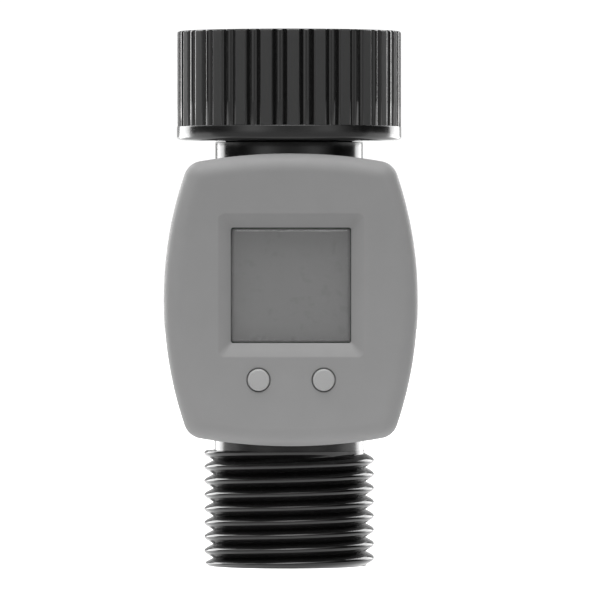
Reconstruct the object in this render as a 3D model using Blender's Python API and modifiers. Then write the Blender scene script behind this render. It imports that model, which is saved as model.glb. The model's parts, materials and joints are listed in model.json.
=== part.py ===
"""Drip irrigation timer that screws in line with a garden hose.

A swivel nut takes the tap, a motor turns a ball valve inside a two-part housing, and a hose thread
below feeds the drip line.  The tube axis is world Z, the outlet end face is at Z = 0 and the display
faces -Y.  Sizes below are millimetres; MM turns them into metres when a mesh is made.
"""

import math

import bmesh
import bpy
from mathutils import Matrix

MM = 0.001
MERGE = 0.000001

# Hose thread, 11.5 turns to the inch; radii
HOSE_PITCH = 25.4 / 11.5
HOSE_STEPS = 28
MALE_MAJOR = 13.45
MALE_MINOR = 12.05
FEMALE_MAJOR = 13.75
FEMALE_MINOR = 12.3
# Share of a turn by which the male thread is turned round the axis
MALE_PHASE = 0.055
# Shares of the pitch between which a thread's flat crest lies
HOSE_CREST = (0.42, 0.58)

# Heights along the tube axis
THREAD_TOP = 18.2
BODY_BOTTOM = 19.35
BODY_TOP = 65.1
BODY_MIDDLE = (BODY_BOTTOM + BODY_TOP) / 2
NUT_BOTTOM = 67.2
NUT_RIB_BOTTOM = 69.6
NUT_TOP = 84.6
NUT_WEB_TOP = 69.7
NUT_THREAD_BOTTOM = 74.4
VALVE_HEIGHT = 42.2

# Water path: radii, and the depth of the seal grooves
OUTLET_BORE = 9.0
PASSAGE = 4.2
BALL_CHAMBER = 7.0
CARTRIDGE_BORE = 8.5
CHAMBER_WALL = 9.2
SOCKET_WALL = 10.0
FOOT_COLLAR = 11.85
TAIL_COLLAR = 11.7
TAIL_SLEEVE = 8.2
TAIL_BORE = 6.0
TAIL_RIM = 10.0
SEAL_GROOVE = 0.7
# The fittings' lugs key into the housing
LUG_HALF_WIDTH = 5.0
LUG_REACH = 14.5

# Nut: ribs wide and narrow in turn, their widths and flanks in degrees; radii
RIB_REPEATS = 26
FIRST_RIB = -89.35
WIDE_RIB = 6.0
NARROW_RIB = 3.3
RIB_OUTER = 17.8
RIB_ROOT = 17.15
RIB_FLANK = 0.9
NUT_HOLLOW = 13.9
NUT_HOLE = 10.4

# Inlet screen: a disc with rings of holes, as (count, distance from the axis)
SCREEN_RADIUS = 7.7
SCREEN_HOLE = 0.9
SCREEN_RINGS = ((4, 2.2), (9, 5.2))

# Housing: a barrel outline drawn out front to back
BODY_HALF_WIDTH = 19.86
BODY_HALF_HEIGHT = (BODY_TOP - BODY_BOTTOM) / 2
SIDE_ARC = 60.9
END_ARC = 83.0
CORNER_ARC = 3.1
SMALLEST_CORNER = 1.2
BODY_HALF_DEPTH = 19.6
EDGE_ROUND = 2.8
EDGE_STEPS = 4
WALL = 1.6
SPLIT_GAP = 0.15
POST_END = 18.4
NECK_HOLE = 12.1
NECK_STEPS = 32

# Display and buttons
DISPLAY_HEIGHT = 44.5
RECESS_OUTER = (22.7, 22.4)
RECESS_INNER = (18.8, 18.05)
RECESS_DEPTH = 1.0
WINDOW_FRONT = -18.6
WINDOW_SEAT = -17.2
WINDOW_BACK = -16.4
WINDOW_FLANGE = (22.0, 21.0)
PANEL = (18.6, 17.6)
PANEL_FRONT = -16.0
PANEL_BACK = -14.3
BUTTON_HEIGHT = 29.75
BUTTON_OFFSET = 5.08
BUTTON_RADIUS = 1.72
BUTTON_FRONT = -20.0
BUTTON_COLLAR = 2.5
BUTTON_CLEARANCE = 0.2
SWITCH_HALF = 2.2
BOARD_FRONT = -12.6
BOARD_BACK = -11.6
BOARD_SCREWS = [(x, z) for z in (28.7, 55.6) for x in (-13.4, 13.4)]
HOUSING_SCREWS = [(x, BODY_MIDDLE + z) for z in (-17.3, 17.3) for x in (-12.0, 12.0)]
SCREW_SHANK = 0.85
SCREW_HEAD = 1.6
SCREW_HOLE = 1.1
HEAD_HOLE = 1.95
HEAD_SEAT = 10.0

# Valve drive
BALL_RADIUS = 6.5
BALL_BORE = 3.75
STEM_RADIUS = 2.0
STEM_HOLE = 2.3
STEM_GROOVE = 1.3
WHEEL_MIDDLE = 12.5
WHEEL_WIDTH = 2.2
WHEEL_TEETH = 30
MODULE = 0.48
WHEEL_PITCH_RADIUS = MODULE * WHEEL_TEETH / 2
WORM_PITCH_RADIUS = 2.2
WORM_LEAD = math.pi * MODULE
WORM_Y = WHEEL_PITCH_RADIUS + WORM_PITCH_RADIUS
WORM_STEPS = 16
TOOTH_THICKNESS = 0.52
TOOTH_ADDENDUM = 0.42
TOOTH_DEDENDUM = 0.6
FLANK_SLOPE = math.tan(math.radians(20))
MOTOR_BOTTOM = 47.0
MOTOR_TOP = 56.6
MOTOR_RADIUS = 3.0

# Battery cover
COVER_BACK = 20.0
COVER_PITCH = 1.5
COVER_MAJOR = 12.0
COVER_MINOR = 11.4
COVER_CLEARANCE = 0.2
COVER_STEPS = 24
COVER_SECTION = ((COVER_MINOR, 0.0), (COVER_MAJOR, 0.4), (COVER_MAJOR, 0.6))
COVER_RIM = 13.2
COVER_SHOULDER = 18.6
COVER_FRONT = 15.2
COVER_POCKET = 13.5
COVER_POCKET_FLOOR = 17.7
CUP_OUTER = 14.6
CUP_INNER = COVER_MINOR + COVER_CLEARANCE - 0.05
CUP_FLOOR_FRONT = 12.6
CUP_FLOOR_BACK = 13.3
LEAD_RADIUS = 0.35

GAP = 0.3

TURN = {
    "+Z": (0.0, 0.0, 0.0),
    "+X": (0.0, math.pi / 2, 0.0),
    "+Y": (-math.pi / 2, 0.0, 0.0),
    "-Y": (math.pi / 2, 0.0, 0.0),
}


def clear_scene():
    for old in list(bpy.data.objects):
        bpy.data.objects.remove(old, do_unlink=True)


def new_collection(name):
    collection = bpy.data.collections.new(name)
    bpy.context.scene.collection.children.link(collection)
    return collection


clear_scene()
PARTS = new_collection("drip_irrigation_timer")
CUTTERS = new_collection("cutters")


# ---------------------------------------------------------------- materials

def material(name, colour, roughness, metallic=0.0, transmission=0.0):
    made = bpy.data.materials.get(name)
    if made:
        return made
    made = bpy.data.materials.new(name)
    made.use_nodes = True
    shader = made.node_tree.nodes["Principled BSDF"]
    shader.inputs["Base Color"].default_value = (*colour, 1.0)
    shader.inputs["Roughness"].default_value = roughness
    shader.inputs["Metallic"].default_value = metallic
    shader.inputs["Transmission Weight"].default_value = transmission
    return made


def grey_plastic():
    return material("grey_plastic", (0.27, 0.27, 0.27), 0.45)


def button_plastic():
    return material("button_plastic", (0.38, 0.38, 0.38), 0.35)


def black_plastic():
    return material("black_plastic", (0.012, 0.012, 0.012), 0.3)


def white_plastic():
    return material("white_plastic", (0.75, 0.75, 0.73), 0.4)


def window_plastic():
    return material("window_plastic", (0.85, 0.87, 0.86), 0.08, transmission=0.9)


def panel_glass():
    return material("panel_glass", (0.19, 0.2, 0.18), 0.12)


def black_rubber():
    return material("black_rubber", (0.02, 0.02, 0.02), 0.75)


def washer_rubber():
    return material("washer_rubber", (0.05, 0.05, 0.055), 0.7)


def board_laminate():
    return material("board_laminate", (0.02, 0.12, 0.05), 0.5)


def steel():
    return material("steel", (0.62, 0.62, 0.62), 0.3, metallic=1.0)


def brass():
    return material("brass", (0.72, 0.53, 0.25), 0.3, metallic=1.0)


def seat_plastic():
    return material("seat_plastic", (0.85, 0.85, 0.82), 0.45)


def wire_sleeve(name, colour):
    return material(name, colour, 0.5)


# ------------------------------------------------------------ object making

def add_object(name, mesh, finish=None, cutter=False):
    made = bpy.data.objects.new(name, mesh)
    if cutter:
        CUTTERS.objects.link(made)
        made.hide_render = True
        made.display_type = "WIRE"
    else:
        PARTS.objects.link(made)
    if finish and not mesh.materials:
        mesh.materials.append(finish)
    return made


def place(made, where, direction="+Z"):
    made.location = [value * MM for value in where]
    made.rotation_euler = TURN[direction]
    return made


def mesh_of(bm, name):
    mesh = bpy.data.meshes.new(name)
    bm.to_mesh(mesh)
    bm.free()
    return mesh


def smooth_round(mesh):
    mesh.shade_smooth()
    mesh.set_sharp_from_angle(angle=math.radians(35))


def turned(name, profile, finish=None, steps=24, where=(0, 0, 0), direction="+Z",
           ring=False, cutter=False):
    """A profile of (radius, height) points turned round its own Z; it runs down the outer side."""
    points = [(radius * MM, 0.0, height * MM) for radius, height in profile]
    edges = [(i, i + 1) for i in range(len(points) - 1)]
    if ring:
        edges.append((len(points) - 1, 0))
    mesh = bpy.data.meshes.new(name)
    mesh.from_pydata(points, edges, [])
    made = place(add_object(name, mesh, finish, cutter), where, direction)
    screw = made.modifiers.new("Turn", "SCREW")
    screw.angle = 2 * math.pi
    screw.steps = steps
    screw.render_steps = steps
    screw.use_merge_vertices = True
    screw.merge_threshold = MERGE
    return made


def ring(name, inner, outer, bottom, top, finish=None, **options):
    profile = [(outer, top), (outer, bottom), (inner, bottom), (inner, top)]
    return turned(name, profile, finish, ring=True, **options)


def rod(name, radius, bottom, top, finish=None, **options):
    profile = [(0, top), (radius, top), (radius, bottom), (0, bottom)]
    return turned(name, profile, finish, **options)


def torus(name, major, minor, height, finish=None, sides=6, **options):
    """A round-section ring whose section runs down its outer side first."""
    profile = []
    for i in range(sides):
        angle = math.pi / 2 - 2 * math.pi * i / sides
        profile.append((major + minor * math.cos(angle), height + minor * math.sin(angle)))
    return turned(name, profile, finish, ring=True, **options)


def box(name, low, high, finish=None, bevel=0.0, cutter=False):
    bm = bmesh.new()
    bmesh.ops.create_cube(bm, size=1.0)
    size = [(b - a) * MM for a, b in zip(low, high)]
    middle = [(a + b) / 2 * MM for a, b in zip(low, high)]
    bmesh.ops.transform(bm, matrix=Matrix.Diagonal((*size, 1.0)), verts=bm.verts)
    made = add_object(name, mesh_of(bm, name), finish, cutter)
    made.location = middle
    if bevel:
        add_bevel(made, bevel)
    return made


def add_bevel(made, width):
    bevel = made.modifiers.new("Edges", "BEVEL")
    bevel.width = width * MM
    bevel.segments = 1
    bevel.limit_method = "ANGLE"
    bevel.angle_limit = math.radians(50)


def plate(name, outlines, thickness, finish=None, where=(0, 0, 0), direction="+Z", cutter=False):
    """A flat outline with thickness, centred on its plane; a second outline is a hole in it."""
    curve = bpy.data.curves.new(name, "CURVE")
    curve.dimensions = "2D"
    curve.fill_mode = "BOTH"
    curve.extrude = thickness / 2 * MM
    for outline in outlines:
        spline = curve.splines.new("POLY")
        spline.points.add(len(outline) - 1)
        for point, (x, y) in zip(spline.points, outline):
            point.co = (x * MM, y * MM, 0.0, 1.0)
        spline.use_cyclic_u = True
    drawn = bpy.data.objects.new(name + "_outline", curve)
    made = add_object(name, solid_from_curve(drawn, name), finish, cutter)
    return place(made, where, direction)


def circle(centre, radius, count):
    return arc_points(centre, radius, 0, 2 * math.pi, count)


def rectangle(low, high):
    return [(low[0], low[1]), (high[0], low[1]), (high[0], high[1]), (low[0], high[1])]


def solid_from_curve(drawn, name):
    PARTS.objects.link(drawn)
    bpy.context.view_layer.update()
    evaluated = drawn.evaluated_get(bpy.context.evaluated_depsgraph_get())
    mesh = bpy.data.meshes.new_from_object(evaluated)
    mesh.name = name
    bpy.data.objects.remove(drawn, do_unlink=True)
    bm = bmesh.new()
    bm.from_mesh(mesh)
    bmesh.ops.remove_doubles(bm, verts=bm.verts, dist=MERGE)
    bmesh.ops.dissolve_limit(bm, angle_limit=0.001, verts=bm.verts, edges=bm.edges)
    bmesh.ops.recalc_face_normals(bm, faces=bm.faces)
    bm.to_mesh(mesh)
    bm.free()
    return mesh


def wire(name, route, radius, finish):
    """A round lead along a route of points."""
    curve = bpy.data.curves.new(name, "CURVE")
    curve.dimensions = "3D"
    curve.bevel_depth = radius * MM
    curve.bevel_resolution = 1
    curve.use_fill_caps = True
    spline = curve.splines.new("POLY")
    spline.points.add(len(route) - 1)
    for point, place_mm in zip(spline.points, route):
        point.co = (*[value * MM for value in place_mm], 1.0)
    drawn = bpy.data.objects.new(name + "_route", curve)
    made = add_object(name, solid_from_curve(drawn, name), finish)
    smooth_round(made.data)
    return made


def smooth_route(corners, per_span=4):
    """Points along a Catmull-Rom curve through the corners."""
    ends = [corners[0]] + list(corners) + [corners[-1]]
    route = []
    for a, b, c, d in zip(ends, ends[1:], ends[2:], ends[3:]):
        for i in range(per_span):
            t = i / per_span
            route.append([
                0.5 * (2 * q + (r - p) * t + (2 * p - 5 * q + 4 * r - s) * t * t
                       + (3 * q - p - 3 * r + s) * t ** 3)
                for p, q, r, s in zip(a, b, c, d)
            ])
    route.append(list(corners[-1]))
    return route


def combine(target, other, operation):
    boolean = target.modifiers.new(other.name[:40], "BOOLEAN")
    boolean.operation = operation
    boolean.solver = "EXACT"
    boolean.object = other


def cut(target, *others):
    for other in others:
        combine(target, other, "DIFFERENCE")


def join(target, *others):
    for other in others:
        combine(target, other, "UNION")


def helical_rod(name, section, pitch, steps, bottom, top, where=(0, 0, 0), direction="+Z"):
    """A solid rod with a right-handed thread; section holds (radius, share of the pitch)."""
    first_turn = math.floor(bottom / pitch) - 2
    turns = math.ceil(top / pitch) + 2 - first_turn
    bm = bmesh.new()
    rows = []
    for k in range(turns * steps + 1):
        angle = 2 * math.pi * k / steps
        base = (first_turn + k / steps) * pitch
        rows.append([
            bm.verts.new((radius * math.cos(angle) * MM, radius * math.sin(angle) * MM,
                          (base + share * pitch) * MM))
            for radius, share in section
        ])
    for k in range((turns - 1) * steps):
        here = rows[k] + [rows[k + steps][0]]
        ahead = rows[k + 1] + [rows[k + 1 + steps][0]]
        for m in range(len(section)):
            bm.faces.new((here[m], ahead[m], ahead[m + 1], here[m + 1]))
    spare = [vertex for vertex in bm.verts if not vertex.link_faces]
    bmesh.ops.delete(bm, geom=spare, context="VERTS")
    for height, side in ((bottom, -1.0), (top, 1.0)):
        everything = list(bm.verts) + list(bm.edges) + list(bm.faces)
        bmesh.ops.bisect_plane(bm, geom=everything, dist=MERGE / 10, plane_co=(0, 0, height * MM),
                               plane_no=(0, 0, side), clear_outer=True)
        rim = [edge for edge in bm.edges if edge.is_boundary
               and all(abs(vertex.co.z - height * MM) < MERGE for vertex in edge.verts)]
        bmesh.ops.holes_fill(bm, edges=rim, sides=0)
    bmesh.ops.recalc_face_normals(bm, faces=bm.faces)
    made = add_object(name, mesh_of(bm, name), cutter=True)
    return place(made, where, direction)


# ------------------------------------------------------------------ outline

def arc_points(centre, radius, start, stop, count):
    """Points along an arc, without its last one."""
    points = []
    for i in range(count):
        angle = start + (stop - start) * i / count
        points.append((centre[0] + radius * math.cos(angle), centre[1] + radius * math.sin(angle)))
    return points


def barrel_outline(inset, side_count=6, end_count=6, corner_count=4):
    """The housing's front view, drawn in by inset: four shallow arcs with rounded corners."""
    side = SIDE_ARC - inset
    end = END_ARC - inset
    corner = max(CORNER_ARC - inset, SMALLEST_CORNER)
    side_centre = SIDE_ARC - BODY_HALF_WIDTH
    end_centre = END_ARC - BODY_HALF_HEIGHT
    # The corner arc's centre is side - corner from one arc centre and end - corner from the other
    reach_side = side - corner
    reach_end = end - corner
    span = math.hypot(side_centre, end_centre)
    along = (reach_side ** 2 - reach_end ** 2 + span ** 2) / (2 * span)
    across = math.sqrt(reach_side ** 2 - along ** 2)
    to_end = (side_centre / span, -end_centre / span)
    x = -side_centre + to_end[0] * along + end_centre / span * across
    z = to_end[1] * along + side_centre / span * across
    side_angle = math.atan2(z, x + side_centre)
    end_angle = math.atan2(z + end_centre, x)
    quarter = arc_points((x, z), corner, side_angle, end_angle, corner_count)
    top = arc_points((0, -end_centre), end, end_angle, math.pi - end_angle, end_count)
    left = [(-px, pz) for px, pz in reversed(quarter[1:] + [top[0]])]
    left_side = arc_points((side_centre, 0), side, math.pi - side_angle, math.pi + side_angle,
                           side_count)
    upper = quarter + top + left + left_side[:1]
    bottom = arc_points((0, end_centre), end, math.pi + end_angle, 2 * math.pi - end_angle,
                        end_count)
    lower_left = [(-px, -pz) for px, pz in quarter]
    lower_right = [(px, -pz) for px, pz in reversed(quarter[1:] + [top[0]])]
    right_side = arc_points((-side_centre, 0), side, -side_angle, side_angle, side_count)
    return upper + left_side[1:] + lower_left + bottom + lower_right + right_side


def shell_half(name, finish, sign):
    """Half of the housing: an open skin from the split to the rounded face, then thickened."""
    sections = [(0.0, SPLIT_GAP)]
    for i in range(EDGE_STEPS + 1):
        angle = math.pi / 2 * i / EDGE_STEPS
        inset = EDGE_ROUND * (1 - math.cos(angle))
        depth = BODY_HALF_DEPTH - EDGE_ROUND * (1 - math.sin(angle))
        sections.append((inset, depth))
    bm = bmesh.new()
    rings = []
    for inset, depth in sections:
        rings.append([bm.verts.new((x * MM, sign * depth * MM, (BODY_MIDDLE + z) * MM))
                      for x, z in barrel_outline(inset)])
    for first, second in zip(rings, rings[1:]):
        for i in range(len(first)):
            j = (i + 1) % len(first)
            bm.faces.new((first[i], first[j], second[j], second[i]))
    cap = bm.faces.new(rings[-1])
    bmesh.ops.recalc_face_normals(bm, faces=bm.faces)
    if cap.normal.y * sign < 0:
        bmesh.ops.reverse_faces(bm, faces=bm.faces)
    made = add_object(name, mesh_of(bm, name), finish)
    solid = made.modifiers.new("Wall", "SOLIDIFY")
    solid.thickness = WALL * MM
    solid.offset = -1.0
    solid.use_even_offset = True
    return made


# ---------------------------------------------------------------- fluid path

def outlet_body():
    groove = FOOT_COLLAR - SEAL_GROOVE
    profile = [
        (0, 56.5), (SOCKET_WALL, 56.5), (SOCKET_WALL, 49.0), (CHAMBER_WALL, 48.0),
        (CHAMBER_WALL, 22.2), (FOOT_COLLAR, 22.2), (FOOT_COLLAR, 21.05), (groove, 21.05),
        (groove, 19.95), (FOOT_COLLAR, 19.95), (FOOT_COLLAR, 17.0), (0, 17.0),
    ]
    made = turned("outlet_body", profile, black_plastic(), steps=HOSE_STEPS)
    section = [(MALE_MINOR, MALE_PHASE)]
    section += [(MALE_MAJOR, MALE_PHASE + share) for share in HOSE_CREST]
    thread = helical_rod("add_male_thread", section, HOSE_PITCH, HOSE_STEPS, 0.0, THREAD_TOP)
    lugs = box("add_outlet_lugs", (-LUG_HALF_WIDTH, -LUG_REACH, 21.4),
               (LUG_HALF_WIDTH, LUG_REACH, 23.1), cutter=True)
    boss = rod("add_stem_boss", 4.2, 5.0, 10.8, steps=16, where=(0, 0, VALVE_HEIGHT),
               direction="+X", cutter=True)
    join(made, thread, lugs, boss)
    bore = turned("cut_outlet_bore", [
        (0, 58.0), (CARTRIDGE_BORE, 58.0), (CARTRIDGE_BORE, 49.5), (BALL_CHAMBER, 49.5),
        (BALL_CHAMBER, 34.7), (PASSAGE, 34.7), (PASSAGE, 27.0), (OUTLET_BORE, 19.0),
        (OUTLET_BORE, -1.0), (0, -1.0),
    ], steps=HOSE_STEPS, cutter=True)
    stem_hole = turned("cut_stem_hole", [
        (0, 12.0), (3.2, 12.0), (3.2, 9.4), (STEM_HOLE, 9.4), (STEM_HOLE, 6.0), (0, 6.0),
    ], steps=16, where=(0, 0, VALVE_HEIGHT), direction="+X", cutter=True)
    cut(made, bore, stem_hole)


def inlet_tail():
    ring_groove = TAIL_RIM - SEAL_GROOVE
    neck_groove = TAIL_COLLAR - SEAL_GROOVE
    profile = [
        (7.0, 71.3), (TAIL_RIM, 71.3), (TAIL_RIM, 71.0), (ring_groove, 71.0),
        (ring_groove, 69.9), (TAIL_RIM, 69.9), (TAIL_RIM, 66.9), (TAIL_COLLAR, 66.9),
        (TAIL_COLLAR, 64.3), (neck_groove, 64.3), (neck_groove, 63.2), (TAIL_COLLAR, 63.2),
        (TAIL_COLLAR, 62.2), (9.0, 62.2), (9.0, 56.9), (TAIL_SLEEVE, 56.9), (TAIL_SLEEVE, 55.2),
        (7.1, 55.2), (7.1, 53.8), (TAIL_SLEEVE, 53.8), (TAIL_SLEEVE, 49.8), (TAIL_BORE, 49.8),
        (TAIL_BORE, 58.0), (7.0, 59.5),
    ]
    made = turned("inlet_tail", profile, black_plastic(), steps=24, ring=True)
    for side, near, far in (("front", -LUG_REACH, -9.8), ("rear", 9.8, LUG_REACH)):
        join(made, box("add_tail_lug_" + side, (-LUG_HALF_WIDTH, near, 61.1),
                       (LUG_HALF_WIDTH, far, 63.0), cutter=True))


def rib_outline():
    """Wide and narrow ribs in turn, in degrees; the first wide one faces the front."""
    repeat = 360 / RIB_REPEATS
    outline = []
    for i in range(RIB_REPEATS):
        for middle, width in ((0.0, WIDE_RIB), (repeat / 2, NARROW_RIB)):
            centre = FIRST_RIB + i * repeat + middle
            for radius, offset in (
                (RIB_ROOT, -width / 2 - RIB_FLANK / 2), (RIB_OUTER, -width / 2 + RIB_FLANK / 2),
                (RIB_OUTER, width / 2 - RIB_FLANK / 2), (RIB_ROOT, width / 2 + RIB_FLANK / 2),
            ):
                angle = math.radians(centre + offset)
                outline.append((radius * math.cos(angle), radius * math.sin(angle)))
    return outline


def inlet_nut():
    height = NUT_TOP - NUT_RIB_BOTTOM
    middle = (NUT_TOP + NUT_RIB_BOTTOM) / 2
    made = plate("inlet_nut", [rib_outline()], height, black_plastic(), where=(0, 0, middle))
    under_ribs = RIB_ROOT - 0.4
    edge = 0.5
    flange = turned("add_nut_flange", [
        (0, NUT_RIB_BOTTOM + edge), (under_ribs, NUT_RIB_BOTTOM + edge),
        (under_ribs, NUT_RIB_BOTTOM), (RIB_OUTER, NUT_RIB_BOTTOM),
        (RIB_OUTER, NUT_BOTTOM + edge), (RIB_OUTER - edge, NUT_BOTTOM), (0, NUT_BOTTOM),
    ], steps=48, cutter=True)
    join(made, flange)
    hollow = turned("cut_nut_hollow", [
        (0, NUT_THREAD_BOTTOM), (NUT_HOLLOW, NUT_THREAD_BOTTOM), (NUT_HOLLOW, NUT_WEB_TOP),
        (NUT_HOLE, NUT_WEB_TOP), (NUT_HOLE, NUT_BOTTOM - 1), (0, NUT_BOTTOM - 1),
    ], steps=HOSE_STEPS, cutter=True)
    section = [(FEMALE_MAJOR, 0.0)] + [(FEMALE_MINOR, share) for share in HOSE_CREST]
    thread = helical_rod("cut_female_thread", section, HOSE_PITCH, HOSE_STEPS,
                         NUT_THREAD_BOTTOM - 0.6, NUT_TOP + 1.0)
    cut(made, hollow, thread)


def nut_seals():
    retaining = ring("nut_retaining_ring", 9.6, 11.9, 70.0, 70.9, steel(), steps=24)
    cut(retaining, box("cut_ring_gap", (-1.2, 5, 69), (1.2, 14, 72), cutter=True))
    ring("hose_washer", 8.0, 12.0, 71.6, 74.2, washer_rubber(), steps=24)
    outlines = [circle((0, 0), SCREEN_RADIUS, 24)]
    for count, distance in SCREEN_RINGS:
        for centre in circle((0, 0), distance, count):
            outlines.append(circle(centre, SCREEN_HOLE, 8))
    plate("inlet_screen", outlines, 0.8, steel(), where=(0, 0, 72.8))
    torus("tail_o_ring", 7.82, 0.5, 54.5, black_rubber())
    torus("upper_neck_seal", 11.5, 0.38, 63.75, black_rubber())
    torus("lower_neck_seal", 11.63, 0.38, 20.5, black_rubber())


# -------------------------------------------------------------- valve drive

def seat_ring(name, sign):
    """A ring whose sloping face meets the ball; sign is +1 above it and -1 below."""
    points = [(6.7, 3.3), (6.7, 7.2), (4.0, 7.2), (4.0, 5.5)]
    profile = [(radius, VALVE_HEIGHT + sign * height) for radius, height in points]
    if sign > 0:
        profile.reverse()
    turned(name, profile, seat_plastic(), ring=True)


def valve_ball():
    bm = bmesh.new()
    bmesh.ops.create_uvsphere(bm, u_segments=24, v_segments=14, radius=BALL_RADIUS * MM)
    made = place(add_object("valve_ball", mesh_of(bm, "valve_ball"), steel()), (0, 0, VALVE_HEIGHT))
    smooth_round(made.data)
    passage = rod("cut_ball_passage", BALL_BORE, -8, 8, steps=20, where=(0, 0, VALVE_HEIGHT),
                  direction="-Y", cutter=True)
    slot = box("cut_ball_slot", (5.0, -0.75, VALVE_HEIGHT - 1.9), (8.0, 0.75, VALVE_HEIGHT + 1.9),
               cutter=True)
    cut(made, passage, slot)


def valve_stem():
    profile = [
        (0, 15.0), (1.6, 15.0), (STEM_RADIUS, 14.7), (STEM_RADIUS, 14.6), (STEM_GROOVE, 14.6),
        (STEM_GROOVE, 13.8), (STEM_RADIUS, 13.8), (STEM_RADIUS, 9.0), (STEM_GROOVE, 9.0),
        (STEM_GROOVE, 8.0), (STEM_RADIUS, 8.0), (STEM_RADIUS, 7.3), (0, 7.3),
    ]
    centre = (0, 0, VALVE_HEIGHT)
    made = turned("valve_stem", profile, steel(), steps=16, where=centre, direction="+X")
    tongue = box("add_stem_tongue", (5.4, -0.45, VALVE_HEIGHT - 1.5),
                 (7.8, 0.45, VALVE_HEIGHT + 1.5), cutter=True)
    join(made, tongue)
    torus("stem_o_ring", 1.8, 0.34, 8.5, black_rubber(), steps=16, where=centre, direction="+X")
    ring("stem_gland", STEM_HOLE, 2.9, 9.7, 11.1, white_plastic(), steps=16, where=centre,
         direction="+X")
    clip = ring("stem_clip", 1.55, 3.2, 13.9, 14.5, steel(), steps=16, where=centre,
                direction="+X")
    cut(clip, box("cut_clip_gap", (13, 0.5, VALVE_HEIGHT - 0.8), (15.5, 4, VALVE_HEIGHT + 0.8),
                  cutter=True))


def worm_wheel():
    """Straight-flanked teeth that lean with the worm's lead, lofted from side to side."""
    bm = bmesh.new()
    lean = WORM_LEAD / (2 * math.pi * WORM_PITCH_RADIUS) * WHEEL_WIDTH / 2 / WHEEL_PITCH_RADIUS
    sides = []
    for side in (-1, 1):
        outline = []
        for tooth in range(WHEEL_TEETH):
            middle = 2 * math.pi * (tooth + 0.5) / WHEEL_TEETH + side * lean
            for height, edge in ((-TOOTH_DEDENDUM, -1), (TOOTH_ADDENDUM, -1),
                                 (TOOTH_ADDENDUM, 1), (-TOOTH_DEDENDUM, 1)):
                radius = WHEEL_PITCH_RADIUS + height
                half = TOOTH_THICKNESS / 2 - height * FLANK_SLOPE
                angle = middle + edge * half / WHEEL_PITCH_RADIUS
                outline.append(bm.verts.new((
                    (WHEEL_MIDDLE + side * WHEEL_WIDTH / 2) * MM,
                    radius * math.cos(angle) * MM,
                    (VALVE_HEIGHT + radius * math.sin(angle)) * MM,
                )))
        sides.append(outline)
    near, far = sides
    for i in range(len(near)):
        j = (i + 1) % len(near)
        bm.faces.new((near[i], near[j], far[j], far[i]))
    bm.faces.new(near)
    bm.faces.new(far)
    bmesh.ops.recalc_face_normals(bm, faces=bm.faces)
    made = add_object("worm_wheel", mesh_of(bm, "worm_wheel"), white_plastic())
    cut(made, rod("cut_wheel_bore", STEM_HOLE, 10, 16, steps=16, where=(0, 0, VALVE_HEIGHT),
                  direction="+X", cutter=True))


def worm_drive():
    centre = (WHEEL_MIDDLE, WORM_Y, 0)
    root = WORM_PITCH_RADIUS - TOOTH_DEDENDUM
    crest = WORM_PITCH_RADIUS + TOOTH_ADDENDUM
    half_root = (TOOTH_THICKNESS / 2 + TOOTH_DEDENDUM * FLANK_SLOPE) / WORM_LEAD
    half_crest = (TOOTH_THICKNESS / 2 - TOOTH_ADDENDUM * FLANK_SLOPE) / WORM_LEAD
    # The facing side of the worm is a quarter turn behind its +X; a tooth space faces the wheel
    shift = (VALVE_HEIGHT / WORM_LEAD + 0.25) % 1
    section = [(root, -half_root), (crest, -half_crest), (crest, half_crest), (root, half_root)]
    section = [(radius, share + shift) for radius, share in section]
    shaft = turned("worm", [
        (0, 46.7), (1.0, 46.7), (1.0, 46.2), (1.4, 46.2), (1.4, 38.2), (1.0, 38.2),
        (1.0, 36.2), (0, 36.2),
    ], brass(), steps=WORM_STEPS, where=centre)
    thread = helical_rod("add_worm_thread", section, WORM_LEAD, WORM_STEPS, 38.4, 46.0, where=centre)
    join(shaft, thread)
    ring("worm_bush", 1.3, 2.2, 35.9, 37.6, brass(), steps=WORM_STEPS, where=centre)
    turned("gear_motor", [
        (0, MOTOR_TOP), (2.6, MOTOR_TOP), (MOTOR_RADIUS, MOTOR_TOP - 0.4),
        (MOTOR_RADIUS, MOTOR_BOTTOM + 0.3), (2.7, MOTOR_BOTTOM), (0, MOTOR_BOTTOM),
    ], steel(), steps=20, where=centre)
    bracket = box("motor_bracket", (9.0, 5.9, 49.5), (15.9, 12.3, 53.5), white_plastic(),
                  bevel=0.3)
    cut(bracket, rod("cut_motor_seat", MOTOR_RADIUS + 0.15, 48, 55, steps=20, where=centre,
                     cutter=True))


# ------------------------------------------------------------------ housing

def neck_cutter():
    return rod("cut_necks", NECK_HOLE, 10, 75, steps=NECK_STEPS, cutter=True)


def front_housing(necks):
    made = shell_half("front_housing", grey_plastic(), -1)
    for i, (x, z) in enumerate(HOUSING_SCREWS):
        join(made, rod("add_front_post_%d" % i, 2.0, SPLIT_GAP, POST_END, steps=12,
                       where=(x, 0, z), direction="-Y", cutter=True))
    for i, (x, z) in enumerate(BOARD_SCREWS):
        join(made, rod("add_board_post_%d" % i, 1.4, -BOARD_FRONT + GAP, 18.3, steps=10,
                       where=(x, 0, z), direction="-Y", cutter=True))
    for i, (x, z) in enumerate(HOUSING_SCREWS):
        cut(made, rod("cut_front_pilot_%d" % i, SCREW_HOLE, -1, 8.0, steps=10,
                      where=(x, 0, z), direction="-Y", cutter=True))
    for i, (x, z) in enumerate(BOARD_SCREWS):
        cut(made, rod("cut_board_pilot_%d" % i, 0.75, 11.0, 16.5, steps=8,
                      where=(x, 0, z), direction="-Y", cutter=True))
    cut(made, necks, recess_cutter(), window_opening())
    for x in (-BUTTON_OFFSET, BUTTON_OFFSET):
        cut(made, rod("cut_button_hole_%d" % (x > 0), BUTTON_RADIUS + BUTTON_CLEARANCE, 17, 21,
                      steps=20, where=(x, 0, BUTTON_HEIGHT), direction="-Y", cutter=True))


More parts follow.
